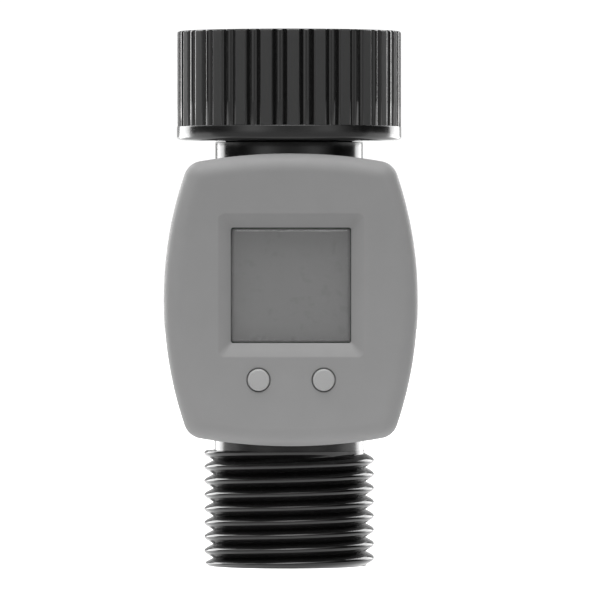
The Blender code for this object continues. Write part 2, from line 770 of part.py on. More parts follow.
def recess_cutter():
    """A four-sided frustum that widens towards the front."""
    bm = bmesh.new()
    beyond = 1.0
    slope = (RECESS_OUTER[0] - RECESS_INNER[0]) / 2 / RECESS_DEPTH
    front_half = RECESS_OUTER[0] / 2 + slope * beyond
    bmesh.ops.create_cone(bm, cap_ends=True, segments=4, radius1=RECESS_INNER[0] / 2 * math.sqrt(2),
                          radius2=front_half * math.sqrt(2), depth=RECESS_DEPTH + beyond)
    bmesh.ops.rotate(bm, verts=bm.verts, matrix=Matrix.Rotation(math.pi / 4, 3, "Z"))
    for vertex in bm.verts:
        if vertex.co.z < 0:
            vertex.co.y *= RECESS_INNER[1] / RECESS_INNER[0]
        else:
            tall = RECESS_OUTER[1] / 2 + (RECESS_OUTER[1] - RECESS_INNER[1]) / 2 * beyond
            vertex.co.y = math.copysign(tall, vertex.co.y)
    bmesh.ops.scale(bm, vec=(MM, MM, MM), verts=bm.verts)
    made = add_object("cut_recess", mesh_of(bm, "cut_recess"), cutter=True)
    middle = -BODY_HALF_DEPTH + (RECESS_DEPTH - beyond) / 2
    return place(made, (0, middle, DISPLAY_HEIGHT), "-Y")


def window_opening():
    return display_block("cut_window", RECESS_INNER, -19.0, -17.0, cutter=True)


def rear_housing(necks):
    made = shell_half("rear_housing", grey_plastic(), 1)
    centre = (0, 0, VALVE_HEIGHT)
    cup = rod("add_cup", CUP_OUTER, CUP_FLOOR_FRONT, 18.8, steps=COVER_STEPS, where=centre,
              direction="+Y", cutter=True)
    join(made, cup)
    for i, (x, z) in enumerate(HOUSING_SCREWS):
        join(made, rod("add_rear_post_%d" % i, 2.3, SPLIT_GAP, POST_END, steps=12,
                       where=(x, 0, z), direction="+Y", cutter=True))
    hollow = turned("cut_cup_hollow", [
        (0, 21.0), (COVER_POCKET, 21.0), (COVER_POCKET, COVER_POCKET_FLOOR),
        (CUP_INNER, COVER_POCKET_FLOOR), (CUP_INNER, CUP_FLOOR_BACK), (0, CUP_FLOOR_BACK),
    ], steps=COVER_STEPS, where=centre, direction="+Y", cutter=True)
    section = [(radius + COVER_CLEARANCE, share) for radius, share in COVER_SECTION]
    thread = helical_rod("cut_cover_thread", section, COVER_PITCH, COVER_STEPS, 14.8, 18.4,
                         where=centre, direction="+Y")
    cut(made, necks, hollow, thread)
    for i, (x, z) in enumerate(HOUSING_SCREWS):
        cut(made, turned("cut_rear_hole_%d" % i, [
            (0, 21.0), (HEAD_HOLE, 21.0), (HEAD_HOLE, HEAD_SEAT), (SCREW_HOLE, HEAD_SEAT),
            (SCREW_HOLE, -1.0), (0, -1.0),
        ], steps=12, where=(x, 0, z), direction="+Y", cutter=True))
    cut(made, gasket_band("cut_gasket_groove", 0.4, 1.2, -0.1, 1.0, cutter=True))


def gasket_band(name, outer_inset, inner_inset, front, back, finish=None, cutter=False):
    """A band that follows the housing's outline between two insets and two depths."""
    outlines = [barrel_outline(outer_inset), barrel_outline(inner_inset)]
    return plate(name, outlines, back - front, finish, where=(0, (front + back) / 2, BODY_MIDDLE),
                 direction="-Y", cutter=cutter)


def housing_gaskets(necks):
    """The seal lies in the rear half's groove and stops at the necks, so it is two lengths."""
    for side, sign in (("left", -1), ("right", 1)):
        made = gasket_band("housing_gasket_" + side, 0.6, 1.0, 0.1, 0.75, black_rubber())
        far = sorted((0, -sign * 30))
        cut(made, necks, box("cut_gasket_" + side, (far[0], -1, 10), (far[1], 2, 75), cutter=True))


def housing_screws():
    profile = [
        (0, 11.6), (SCREW_HEAD - 0.3, 11.6), (SCREW_HEAD, 11.3), (SCREW_HEAD, HEAD_SEAT + GAP),
        (SCREW_SHANK, HEAD_SEAT + GAP), (SCREW_SHANK, -7.0), (0, -7.0),
    ]
    for i, (x, z) in enumerate(HOUSING_SCREWS):
        name = "housing_screw_%d" % (i + 1)
        screw = turned(name, profile, steel(), steps=10, where=(x, 0, z), direction="+Y")
        for axis, half in (("a", (0.22, 1.0)), ("b", (1.0, 0.22))):
            cut(screw, box("cut_drive_%s_%d" % (axis, i), (x - half[0], 11.0, z - half[1]),
                           (x + half[0], 12.0, z + half[1]), cutter=True))


def battery_cover():
    centre = (0, 0, VALVE_HEIGHT)
    made = turned("battery_cover", [
        (0, COVER_BACK), (COVER_RIM - 0.7, COVER_BACK), (COVER_RIM, COVER_BACK - 0.7),
        (COVER_RIM, COVER_SHOULDER), (11.0, COVER_SHOULDER), (11.0, COVER_FRONT),
        (0, COVER_FRONT),
    ], grey_plastic(), steps=COVER_STEPS, where=centre, direction="+Y")
    thread = helical_rod("add_cover_thread_male", COVER_SECTION, COVER_PITCH, COVER_STEPS,
                         COVER_FRONT, COVER_SHOULDER + GAP, where=centre, direction="+Y")
    join(made, thread)
    hollow = rod("cut_cover_hollow", 10.6, 14.0, 17.9, steps=COVER_STEPS, where=centre,
                 direction="+Y", cutter=True)
    slot = box("cut_coin_slot", (-6.5, 19.1, VALVE_HEIGHT - 0.9), (6.5, 21.0, VALVE_HEIGHT + 0.9),
               cutter=True)
    cut(made, hollow, slot)
    torus("cover_o_ring", 12.75, 0.32, 18.15, black_rubber(), where=centre, direction="+Y")


def coin_cell():
    centre = (0, 0, VALVE_HEIGHT)
    turned("coin_cell", [
        (0, 17.1), (9.6, 17.1), (10.0, 16.8), (10.0, 14.5), (9.0, 13.9), (0, 13.9),
    ], steel(), where=centre, direction="+Y")
    rod("cell_contact_minus", 6.0, 13.45, 13.7, brass(), steps=16, where=centre, direction="+Y")
    box("cell_contact_plus", (-11.1, 13.6, VALVE_HEIGHT - 2.2), (-10.5, 15.0, VALVE_HEIGHT + 2.2),
        brass())


# ------------------------------------------------------ display and controls

def frame_plate(name, outer, inner, front, back, finish):
    """A flat rectangular frame round the display, between two depths."""
    outlines = [rectangle((-width / 2, -height / 2), (width / 2, height / 2))
                for width, height in (outer, inner)]
    plate(name, outlines, back - front, finish, where=(0, (front + back) / 2, DISPLAY_HEIGHT),
          direction="-Y")


def display_block(name, size, front, back, finish=None, **options):
    """A block of a given width and height on the display's middle, between two depths."""
    half_x, half_z = size[0] / 2, size[1] / 2
    return box(name, (-half_x, front, DISPLAY_HEIGHT - half_z),
               (half_x, back, DISPLAY_HEIGHT + half_z), finish, **options)


def display():
    view = [size - 2 * GAP for size in RECESS_INNER]
    window = display_block("display_window", view, WINDOW_FRONT, WINDOW_SEAT + GAP,
                           window_plastic(), bevel=0.15)
    join(window, display_block("add_window_flange", WINDOW_FLANGE, WINDOW_SEAT, WINDOW_BACK,
                               cutter=True))
    frame_plate("window_gasket", (21.4, 20.8), RECESS_INNER, -17.8, -17.4, black_rubber())
    display_block("lcd_panel", PANEL, PANEL_FRONT, PANEL_BACK, panel_glass())
    frame_plate("lcd_holder", (23.2, 22.0), (19.2, 18.2), -16.1, BOARD_FRONT - GAP,
                white_plastic())
    for name, low in (("contact_strip_lower", 35.9), ("contact_strip_upper", 52.1)):
        box(name, (-8.5, -14.0, low), (8.5, BOARD_FRONT - GAP, low + 1.2), black_rubber())


def circuit_board():
    outlines = [rectangle((-15, 27.3), (15, 57.1))]
    outlines += [circle(spot, 1.0, 8) for spot in BOARD_SCREWS]
    plate("circuit_board", outlines, BOARD_BACK - BOARD_FRONT, board_laminate(),
          where=(0, (BOARD_FRONT + BOARD_BACK) / 2, 0), direction="-Y")
    for i, (x, z) in enumerate(BOARD_SCREWS):
        profile = [(0, 16.0), (0.5, 16.0), (0.5, 11.3), (1.3, 11.3), (1.3, 10.3), (0, 10.3)]
        turned("board_screw_%d" % (i + 1), profile, steel(), steps=8, where=(x, 0, z),
               direction="-Y")
    box("processor_chip", (-13.0, BOARD_BACK + GAP, 38.0), (-7.0, -10.1, 44.0), black_plastic())
    turned("capacitor", [(0, -7.0), (1.8, -7.0), (2.0, -7.2), (2.0, -11.3), (0, -11.3)], steel(),
           steps=14, where=(-11.0, 0, 52.5), direction="+Y")


def buttons():
    for side, x in (("left", -BUTTON_OFFSET), ("right", BUTTON_OFFSET)):
        spot = (x, 0, BUTTON_HEIGHT)
        turned("button_" + side, [
            (0, -BUTTON_FRONT), (BUTTON_RADIUS - 0.3, -BUTTON_FRONT),
            (BUTTON_RADIUS, -BUTTON_FRONT - 0.3), (BUTTON_RADIUS, 16.9), (BUTTON_COLLAR, 16.9),
            (BUTTON_COLLAR, 16.2), (1.0, 16.2), (1.0, 15.4), (0, 15.4),
        ], button_plastic(), steps=20, where=spot, direction="-Y")
        ring("button_seal_" + side, 2.0, 2.8, 17.2, 17.7, black_rubber(), steps=16, where=spot,
             direction="-Y")
        body = box("switch_body_" + side, (x - SWITCH_HALF, -14.6, BUTTON_HEIGHT - SWITCH_HALF),
                   (x + SWITCH_HALF, BOARD_FRONT - GAP, BUTTON_HEIGHT + SWITCH_HALF),
                   black_plastic())
        cut(body, rod("cut_switch_" + side, 1.15, 13.4, 15.5, steps=12, where=spot,
                      direction="-Y", cutter=True))
        rod("switch_plunger_" + side, 0.85, 14.0, 15.1, white_plastic(), steps=12, where=spot,
            direction="-Y")


def leads():
    red = wire_sleeve("red_sleeve", (0.5, 0.02, 0.02))
    black = wire_sleeve("black_sleeve", (0.02, 0.02, 0.02))
    for name, finish, start, stop in (("cell_lead_plus", red, 46.0, 47.5),
                                      ("cell_lead_minus", black, 38.0, 35.0)):
        wire(name, smooth_route([
            (-11.5, 12.0, start), (-14.2, 9.0, start), (-15.2, 0.0, (start + stop) / 2),
            (-14.6, -8.0, stop), (-13.0, -11.0, stop),
        ], per_span=3), LEAD_RADIUS, finish)
    for name, finish, drop in (("motor_lead_plus", red, 0.0), ("motor_lead_minus", black, 2.0)):
        wire(name, smooth_route([
            (16.0, 9.2, 56.0 - drop), (16.35, 5.0, 55.0 - drop), (16.3, -3.0, 53.0 - drop),
            (15.0, -9.0, 51.5 - drop), (13.6, -11.0, 51.0 - drop),
        ], per_span=3), LEAD_RADIUS, finish)


def main():
    outlet_body()
    inlet_tail()
    inlet_nut()
    nut_seals()
    seat_ring("seat_ring_upper", 1)
    seat_ring("seat_ring_lower", -1)
    valve_ball()
    valve_stem()
    worm_wheel()
    worm_drive()
    necks = neck_cutter()
    front_housing(necks)
    rear_housing(necks)
    housing_gaskets(necks)
    housing_screws()
    battery_cover()
    coin_cell()
    display()
    circuit_board()
    buttons()
    leads()


main()
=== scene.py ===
"""Looks of the in-line drip irrigation timer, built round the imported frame.

Sizes below are in millimetres and MM turns them into metres; light and camera places are in metres.
The tube axis is world Z and the display faces -Y, as in the frame.
"""

import json
import math

import bmesh
import bpy
from mathutils import Matrix, Vector
from mathutils.geometry import delaunay_2d_cdt


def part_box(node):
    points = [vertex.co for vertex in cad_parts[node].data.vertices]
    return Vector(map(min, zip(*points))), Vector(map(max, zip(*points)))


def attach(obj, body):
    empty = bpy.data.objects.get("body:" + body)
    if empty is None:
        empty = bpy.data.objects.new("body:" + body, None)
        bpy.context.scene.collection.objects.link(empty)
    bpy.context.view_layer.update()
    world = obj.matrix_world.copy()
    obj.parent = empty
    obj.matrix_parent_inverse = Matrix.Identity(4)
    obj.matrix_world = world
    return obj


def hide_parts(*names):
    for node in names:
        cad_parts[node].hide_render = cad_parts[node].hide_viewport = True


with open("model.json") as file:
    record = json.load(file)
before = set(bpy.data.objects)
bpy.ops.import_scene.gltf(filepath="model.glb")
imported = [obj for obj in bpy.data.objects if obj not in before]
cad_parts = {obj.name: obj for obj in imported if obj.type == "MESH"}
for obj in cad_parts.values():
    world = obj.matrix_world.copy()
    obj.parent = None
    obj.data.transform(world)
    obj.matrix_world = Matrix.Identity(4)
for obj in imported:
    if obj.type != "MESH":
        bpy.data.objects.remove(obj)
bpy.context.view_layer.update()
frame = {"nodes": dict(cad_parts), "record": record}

MM = 0.001
WELD = 0.0000003
PALE = "pale_stage"

TURN = {
    "+Z": Matrix.Identity(3),
    "+Y": Matrix.Rotation(-math.pi / 2, 3, "X"),
    "-Y": Matrix.Rotation(math.pi / 2, 3, "X"),
}


def extent(node):
    """A node's lowest and highest corners, in millimetres."""
    low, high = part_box(node)
    return [value / MM for value in low], [value / MM for value in high]


NUT_LOW, NUT_HIGH = extent("inlet_nut")
OUTLET_TOP = extent("outlet_body")[1][2]
FRONT_LOW, FRONT_HIGH = extent("front_housing")
COVER_LOW, COVER_HIGH = extent("battery_cover")
BUTTON_LOW, BUTTON_HIGH = extent("button_right")
WINDOW_LOW, WINDOW_HIGH = extent("display_window")
WASHER_LOW, WASHER_HIGH = extent("hose_washer")
SCREEN_LOW, SCREEN_HIGH = extent("inlet_screen")

# Hose thread, 11.5 turns to the inch; ends are shares of half a turn from the crest's middle
HOSE_PITCH = 25.4 / 11.5
MALE_MAJOR = 13.5
MALE_MINOR = 12.0
MALE_START = 1.226
FEMALE_MAJOR = 13.75
FEMALE_MINOR = 12.35
CREST_END = 0.32
ROOT_END = 1.02
CREST_ROUND = 0.47

# Where the male thread ends and fades out, its points a turn, and its cone at the start
THREAD_TOP = 18.25
FADE_START = 17.9
FADE_LENGTH = 0.75
THREAD_PARTS = 20
START_RADIUS = 12.85
START_SLOPE = 1.2

# Necks and water path
NECK = 11.88
NECK_GROOVE = 11.15
OUTLET_BORE = 9.0
OUTLET_SLEEVE = 9.2
OUTLET_RIM = 10.0
CARTRIDGE_BORE = 8.5
BALL_CHAMBER = 7.0
PASSAGE = 4.2
TAIL_RIM = 10.0
TAIL_GROOVE = 9.3
TAIL_COLLAR = 11.7
TAIL_COLLAR_TOP = 67.05
TAIL_SLEEVE = 9.0
TAIL_END = 8.2
TAIL_BORE = 7.0
TAIL_PASSAGE = 6.0

# Inlet washer and screen
WASHER_OUTER = 12.0
WASHER_INNER = 8.0
SCREEN_OUTER = 7.7
SCREEN_INNER = 6.9
WIRES = 13
WIRE_SPACING = 2 * SCREEN_INNER / WIRES
WIRE_REACH = 7.2
WIRE_RADIUS = 0.14
WIRE_WAVE = 0.13

# Nut
NUT_HOLE = 10.4
NUT_HOLLOW = 13.9
NUT_MOUTH = 14.35
NUT_RIB_BOTTOM = 69.6
NUT_WEB_TOP = 69.7
NUT_THREAD_BOTTOM = 74.4
RIB_REPEATS = 26
FIRST_RIB = -88.8
RIB_ROOT = 17.15
RIB_OUTER = 17.75
WIDE_HALF = 3.0
NARROW_HALF = 1.54
NARROW_CROWN = 0.22
# A groove's section: place across it and share of the rib's height
GROOVE = ((-0.06, 0.985), (0.04, 0.92), (0.14, 0.78), (0.38, 0.26), (0.5, 0.12), (0.62, 0.26),
          (0.86, 0.78), (0.96, 0.92), (1.06, 0.985))

# Housing
HOUSING_MIDDLE = (FRONT_LOW[2] + FRONT_HIGH[2]) / 2
HALF_WIDTH = FRONT_HIGH[0]
HALF_HEIGHT = (FRONT_HIGH[2] - FRONT_LOW[2]) / 2
HALF_DEPTH = -FRONT_LOW[1]
SPLIT = -FRONT_HIGH[1]
SIDE_ARC = 60.9
END_ARC = 83.0
CORNER_ARC = 3.1
EDGE_ROUND = 2.8
WALL = 1.6
NECK_HOLE = 12.1
NECK_CUT = (10, 75)
SIDE_BREAKS = (6.0, 12.0)
# Flat margin kept round a rounded edge, so that its smooth shading stays clean
GUARD = 0.12

DISPLAY_HEIGHT = (WINDOW_LOW[2] + WINDOW_HIGH[2]) / 2
RECESS_OUTER = (22.7, 22.4)
RECESS_INNER = (18.8, 18.05)
RECESS_DEPTH = 1.0
BUTTON_HEIGHT = (BUTTON_LOW[2] + BUTTON_HIGH[2]) / 2
BUTTON_OFFSET = (BUTTON_LOW[0] + BUTTON_HIGH[0]) / 2
BUTTON_RADIUS = 1.72
# A button flange's radius, and how far in front of the tube axis it starts and ends
BUTTON_FLANGE = (2.5, 16.2, 16.9)
BUTTON_GAP = 0.1
WINDOW_GAP = 0.1
WINDOW_BEVEL = 0.55
WINDOW_FLANGE = (22.0, 21.0)
WINDOW_FLANGE_FRONT = -17.2

# Battery cover
COVER_MIDDLE = (COVER_LOW[2] + COVER_HIGH[2]) / 2
COVER_PITCH = 1.5
COVER_MAJOR = 12.0
COVER_MINOR = 11.4
COVER_CLEARANCE = 0.2
COVER_RADIUS = 13.2
COVER_UNDER = 18.6
COVER_THREAD_END = 15.2
COVER_CUP = 10.6
COVER_SEAT = 13.5
COVER_SLOT = (13.0, 1.8)
COVER_SLOT_FLOOR = 19.1
CELL_WELL = 11.55
CELL_WELL_FLOOR = 13.3
CUP_RADIUS = 14.6
CUP_FLOOR = 12.6
# A screw hole's radius at each depth
SCREW_HOLE = ((1.95, 10.0), (1.95, 19.0), (2.6, 21.0))

# Nut finishes on and between the satin ribs: roughness, grey level and specular level
NUT_GLOSS = (0.17, 0.005, 0.5)
NUT_SATIN = (0.62, 0.036, 0.04)


# ---------------------------------------------------------------- materials

def grey(level):
    return (level, level, level)


def node_material(name, colour, roughness, metallic=0.0):
    made = bpy.data.materials.new(name)
    made.use_nodes = True
    tree = made.node_tree
    shader = tree.nodes["Principled BSDF"]
    shader.inputs["Base Color"].default_value = (*colour, 1.0)
    shader.inputs["Roughness"].default_value = roughness
    shader.inputs["Metallic"].default_value = metallic
    return made, tree, shader


def noise(tree, scale, detail=3.0, roughness=0.55):
    place = tree.nodes.new("ShaderNodeTexCoord")
    made = tree.nodes.new("ShaderNodeTexNoise")
    made.inputs["Scale"].default_value = scale
    made.inputs["Detail"].default_value = detail
    made.inputs["Roughness"].default_value = roughness
    tree.links.new(place.outputs["Object"], made.inputs["Vector"])
    return made.outputs["Fac"]


def remap(tree, value, low, high, from_low=0.3, from_high=0.7):
    made = tree.nodes.new("ShaderNodeMapRange")
    made.inputs["From Min"].default_value = from_low
    made.inputs["From Max"].default_value = from_high
    made.inputs["To Min"].default_value = low
    made.inputs["To Max"].default_value = high
    tree.links.new(value, made.inputs["Value"])
    return made.outputs["Result"]


def mix_colour(tree, factor, first, second):
    made = tree.nodes.new("ShaderNodeMix")
    made.data_type = "RGBA"
    made.inputs["A"].default_value = (*first, 1.0)
    made.inputs["B"].default_value = (*second, 1.0)
    tree.links.new(factor, made.inputs["Factor"])
    return made.outputs["Result"]


def bump(tree, shader, height, strength, distance):
    made = tree.nodes.new("ShaderNodeBump")
    made.inputs["Strength"].default_value = strength
    made.inputs["Distance"].default_value = distance
    tree.links.new(height, made.inputs["Height"])
    tree.links.new(made.outputs["Normal"], shader.inputs["Normal"])


def moulded(name, colour, roughness, grain_scale, grain_depth, variation=0.06, spread=0.05,
            metallic=0.0, sheen=0.5):
    """Plastic, rubber or metal with a fine grain, patchy gloss and a little colour variation."""
    made, tree, shader = node_material(name, colour, roughness, metallic)
    shader.inputs["Specular IOR Level"].default_value = sheen
    patches = noise(tree, 160.0, 4.0)
    dark = [channel * (1 - variation) for channel in colour]
    light = [channel * (1 + variation) for channel in colour]
    tree.links.new(mix_colour(tree, remap(tree, patches, 0, 1), dark, light),
                   shader.inputs["Base Color"])
    tree.links.new(remap(tree, noise(tree, 700.0, 3.0), roughness - spread, roughness + spread),
                   shader.inputs["Roughness"])
    bump(tree, shader, noise(tree, grain_scale, 2.0), 0.35, grain_depth)
    return made


def nut_material():
    """Glossy black, and satin where the nut's satin attribute is 1."""
    made, tree, shader = node_material("black_nut_plastic", grey(NUT_GLOSS[1]), NUT_GLOSS[0])
    marks = tree.nodes.new("ShaderNodeAttribute")
    marks.attribute_name = "satin"
    satin = marks.outputs["Fac"]
    patches = remap(tree, noise(tree, 700.0, 3.0), -0.03, 0.03)
    gloss = tree.nodes.new("ShaderNodeMath")
    tree.links.new(remap(tree, satin, NUT_GLOSS[0], NUT_SATIN[0], 0, 1), gloss.inputs[0])
    tree.links.new(patches, gloss.inputs[1])
    tree.links.new(gloss.outputs["Value"], shader.inputs["Roughness"])
    tree.links.new(mix_colour(tree, satin, grey(NUT_GLOSS[1]), grey(NUT_SATIN[1])),
                   shader.inputs["Base Color"])
    tree.links.new(remap(tree, satin, NUT_GLOSS[2], NUT_SATIN[2], 0, 1),
                   shader.inputs["Specular IOR Level"])
    bump(tree, shader, noise(tree, 3600.0, 2.0), 0.35, 0.000008)
    return made


def window_material():
    """Clear plastic that the panel shows through, with smeared gloss."""
    made, tree, shader = node_material("clear_window", grey(0.2), 0.12)
    shader.inputs["Alpha"].default_value = 0.35
    smears = remap(tree, noise(tree, 240.0, 4.0), 0.09, 0.2)
    tree.links.new(smears, shader.inputs["Roughness"])
    return made


GREY = moulded("grey_housing_plastic", grey(0.178), 0.6, 5200.0, 0.00002, 0.02, sheen=0.3)
BUTTON_GREY = moulded("button_plastic", grey(0.243), 0.42, 5200.0, 0.00001, 0.02)
BLACK = moulded("black_fitting_plastic", grey(0.005), 0.17, 3600.0, 0.000006, 0.1, 0.03,
                sheen=0.38)
NUT_BLACK = nut_material()
RUBBER = moulded("seal_rubber", grey(0.02), 0.7, 2600.0, 0.00003, 0.12)
WASHER = moulded("washer_rubber", (0.035, 0.035, 0.037), 0.65, 2600.0, 0.00004, 0.12)
WHITE = moulded("white_plastic", (0.72, 0.72, 0.7), 0.4, 4000.0, 0.00001, 0.03)
SEAT = moulded("seat_plastic", (0.82, 0.82, 0.79), 0.35, 4000.0, 0.000006, 0.02)
CHIP = moulded("chip_package", (0.025, 0.025, 0.027), 0.55, 5200.0, 0.00001, 0.1)
BOARD = moulded("board_laminate", (0.015, 0.11, 0.04), 0.4, 1400.0, 0.00001, 0.12)
PANEL = moulded("display_panel", grey(0.2), 0.3, 5200.0, 0.000004, 0.02)
STEEL = moulded("stainless_steel", grey(0.6), 0.3, 2200.0, 0.000006, 0.05, metallic=1.0)
BRASS = moulded("turned_brass", (0.7, 0.5, 0.24), 0.32, 1800.0, 0.000008, 0.08, metallic=1.0)
RED = moulded("red_sleeve", (0.45, 0.02, 0.02), 0.45, 3000.0, 0.00001, 0.08)
BLACK_SLEEVE = moulded("black_sleeve", grey(0.02), 0.45, 3000.0, 0.00001, 0.08)
WINDOW = window_material()

FINISHES = {
    "grey_housing": GREY, "button_grey": BUTTON_GREY, "black_fitting": BLACK,
    "white_part": WHITE, "window": WINDOW, "panel": PANEL, "seal_rubber": RUBBER,
    "washer_rubber": WASHER, "board": BOARD, "chip": CHIP, "steel": STEEL, "brass": BRASS,
    "seat": SEAT, "red_sleeve": RED, "black_sleeve": BLACK_SLEEVE,
}


# ------------------------------------------------------------- mesh building

def rows_to_faces(bm, rows, close_rows=False):
    """Quads between neighbouring rows; each row of points is a closed ring."""
    rings = [[bm.verts.new(point) for point in row] for row in rows]
    pairs = list(zip(rings, rings[1:]))
    if close_rows:
        pairs.append((rings[-1], rings[0]))
    for first, second in pairs:
        for i in range(len(first)):
            j = (i + 1) % len(first)
            bm.faces.new((first[i], first[j], second[j], second[i]))


def cap_row(bm, row):
    bm.faces.new([bm.verts.new(point) for point in row])


def piece(name, bm, finish, body, slot, *nodes, where=(0, 0, 0), direction="+Z", angle=40):
    """Turns a bmesh in millimetres into a shown piece that rides on a body and replaces nodes."""
    bmesh.ops.remove_doubles(bm, verts=bm.verts, dist=WELD / MM)
    bmesh.ops.recalc_face_normals(bm, faces=bm.faces)
    matrix = Matrix.Translation(Vector(where)) @ TURN[direction].to_4x4()
    bm.transform(Matrix.Scale(MM, 4) @ matrix)
    mesh = bpy.data.meshes.new(name)
    bm.to_mesh(mesh)
    bm.free()
    mesh.shade_smooth()
    mesh.set_sharp_from_angle(angle=math.radians(angle))
    mesh.materials.append(finish)
    made = bpy.data.objects.new(name, mesh)
    bpy.context.scene.collection.objects.link(made)
    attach(made, body)
    if nodes:
        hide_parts(*nodes)
    return made


def circle_row(radius, height, steps=96, centre=(0.0, 0.0)):
    """A ring of points; radius is a number or a function of the angle."""
    row = []
    for i in range(steps):
        angle = 2 * math.pi * i / steps
        reach = radius(angle) if callable(radius) else radius
        row.append((centre[0] + reach * math.cos(angle), centre[1] + reach * math.sin(angle),
                    height))
    return row


def rounded(corners, closed=True, pieces=4):
    """The path through (radius, height, fillet) corners, with an arc at each filleted one."""
    path = []
    count = len(corners)
    for i, (radius, height, fillet) in enumerate(corners):
        here = Vector((radius, height))
        inner = closed or 0 < i < count - 1
        if not fillet or not inner:
            path.append((radius, height))
            continue
        back = (Vector(corners[i - 1][:2]) - here).normalized()
        ahead = (Vector(corners[(i + 1) % count][:2]) - here).normalized()
        half = back.angle(ahead) / 2
        reach = fillet / math.tan(half)
        centre = here + (back + ahead).normalized() * fillet / math.sin(half)
        start, stop = here + back * reach - centre, here + ahead * reach - centre
        for k in range(pieces + 1):
            arm = start.slerp(stop, k / pieces) * fillet
            path.append(tuple(centre + arm))
    return path


def lathe(bm, path, steps=96, close_rows=True):
    rows_to_faces(bm, [circle_row(radius, height, steps) for radius, height in path], close_rows)


def thread_ridge(turns):
    """Ridge height from 0 at the root to 1 on the rounded crest, which lies at whole turns."""
    away = 2 * abs(turns - round(turns))
    rise = (ROOT_END - away) / (ROOT_END - CREST_END)
    if rise > 1 - CREST_ROUND:
        return 1 - max(0.0, 1 + CREST_ROUND - rise) ** 2 / (4 * CREST_ROUND)
    return max(0.0, rise)


def spread(start, stop, step):
    count = max(1, round(abs(stop - start) / step))
    return [start + (stop - start) * i / count for i in range(count + 1)]


# --------------------------------------------------------------- fluid path

def outlet_radius(angle, height):
    """Outer radius of the male thread: chamfered at its start and fading out at its top."""
    turns = (height - MALE_START) / HOSE_PITCH - angle / (2 * math.pi)
    crest = height - (turns - round(turns)) * HOSE_PITCH
    fade = min(1.0, max(0.0, 1 - (crest - FADE_START) / FADE_LENGTH))
    radius = MALE_MINOR + (MALE_MAJOR - MALE_MINOR) * thread_ridge(turns) * fade
    return min(radius, START_RADIUS + height * START_SLOPE)


def make_outlet():
    """The outside follows the helix in columns, and the rest is a turned profile."""
    bm = bmesh.new()
    steps = 144
    columns = []
    for i in range(steps + 1):
        angle = 2 * math.pi * i / steps
        column = []
        for k in range(-THREAD_PARTS, round((THREAD_TOP / HOSE_PITCH + 1) * THREAD_PARTS)):
            height = MALE_START + HOSE_PITCH * (k / THREAD_PARTS + i / steps - 1)
            height = min(max(height, 0.0), THREAD_TOP)
            radius = outlet_radius(angle, height)
            point = (radius * math.cos(angle), radius * math.sin(angle), height)
            column.append(bm.verts.new(point))
        columns.append(column)
    for first, second in zip(columns, columns[1:]):
        for k in range(len(first) - 1):
            bm.faces.new((first[k], second[k], second[k + 1], first[k + 1]))
    rows = [circle_row(lambda angle: outlet_radius(angle, THREAD_TOP), THREAD_TOP, steps)]
    inner = rounded([
        (NECK, THREAD_TOP + 0.03, 0), (NECK, 19.95, 0), (NECK_GROOVE, 19.95, 0),
        (NECK_GROOVE, 21.05, 0), (NECK, 21.05, 0), (NECK, 22.2, 0.2), (OUTLET_SLEEVE, 22.2, 0),
        (OUTLET_SLEEVE, 48.0, 0), (OUTLET_RIM, 49.0, 0), (OUTLET_RIM, OUTLET_TOP, 0.2),
        (CARTRIDGE_BORE, OUTLET_TOP, 0.2), (CARTRIDGE_BORE, 49.5, 0), (BALL_CHAMBER, 49.5, 0),
        (BALL_CHAMBER, 34.7, 0), (PASSAGE, 34.7, 0), (PASSAGE, 27.0, 0), (OUTLET_BORE, 19.0, 0),
        (OUTLET_BORE, 0.3, 0), (OUTLET_BORE + 0.3, 0.0, 0),
    ], closed=False)
    rows += [circle_row(radius, height, steps) for radius, height in inner]
    rows.append(circle_row(lambda angle: outlet_radius(angle, 0.0), 0.0, steps))
    rows_to_faces(bm, rows)
    piece("outlet_fitting", bm, BLACK, "housing", "black_fitting", "outlet_body", angle=50)


def make_tail():
    """The inlet tail's turned profile, down the outside from its top and up the inside."""
    bm = bmesh.new()
    path = rounded([
        (TAIL_BORE, 71.3, 0.3), (TAIL_RIM, 71.3, 0.3), (TAIL_RIM, 71.0, 0), (TAIL_GROOVE, 71.0, 0),
        (TAIL_GROOVE, 69.9, 0), (TAIL_RIM, 69.9, 0), (TAIL_RIM, TAIL_COLLAR_TOP, 0.2),
        (TAIL_COLLAR, TAIL_COLLAR_TOP, 0.12), (TAIL_COLLAR, 64.3, 0), (TAIL_COLLAR - 0.7, 64.3, 0),
        (TAIL_COLLAR - 0.7, 63.2, 0), (TAIL_COLLAR, 63.2, 0), (TAIL_COLLAR, 62.2, 0),
        (TAIL_SLEEVE, 62.2, 0), (TAIL_SLEEVE, 56.9, 0), (TAIL_END, 56.9, 0), (TAIL_END, 55.2, 0),
        (TAIL_END - 1.1, 55.2, 0), (TAIL_END - 1.1, 53.8, 0), (TAIL_END, 53.8, 0),
        (TAIL_END, 49.8, 0.2), (TAIL_PASSAGE, 49.8, 0.2), (TAIL_PASSAGE, 58.0, 0),
        (TAIL_BORE, 59.5, 0),
    ])
    lathe(bm, path, 128)
    piece("inlet_neck", bm, BLACK, "housing", "black_fitting", "inlet_tail")


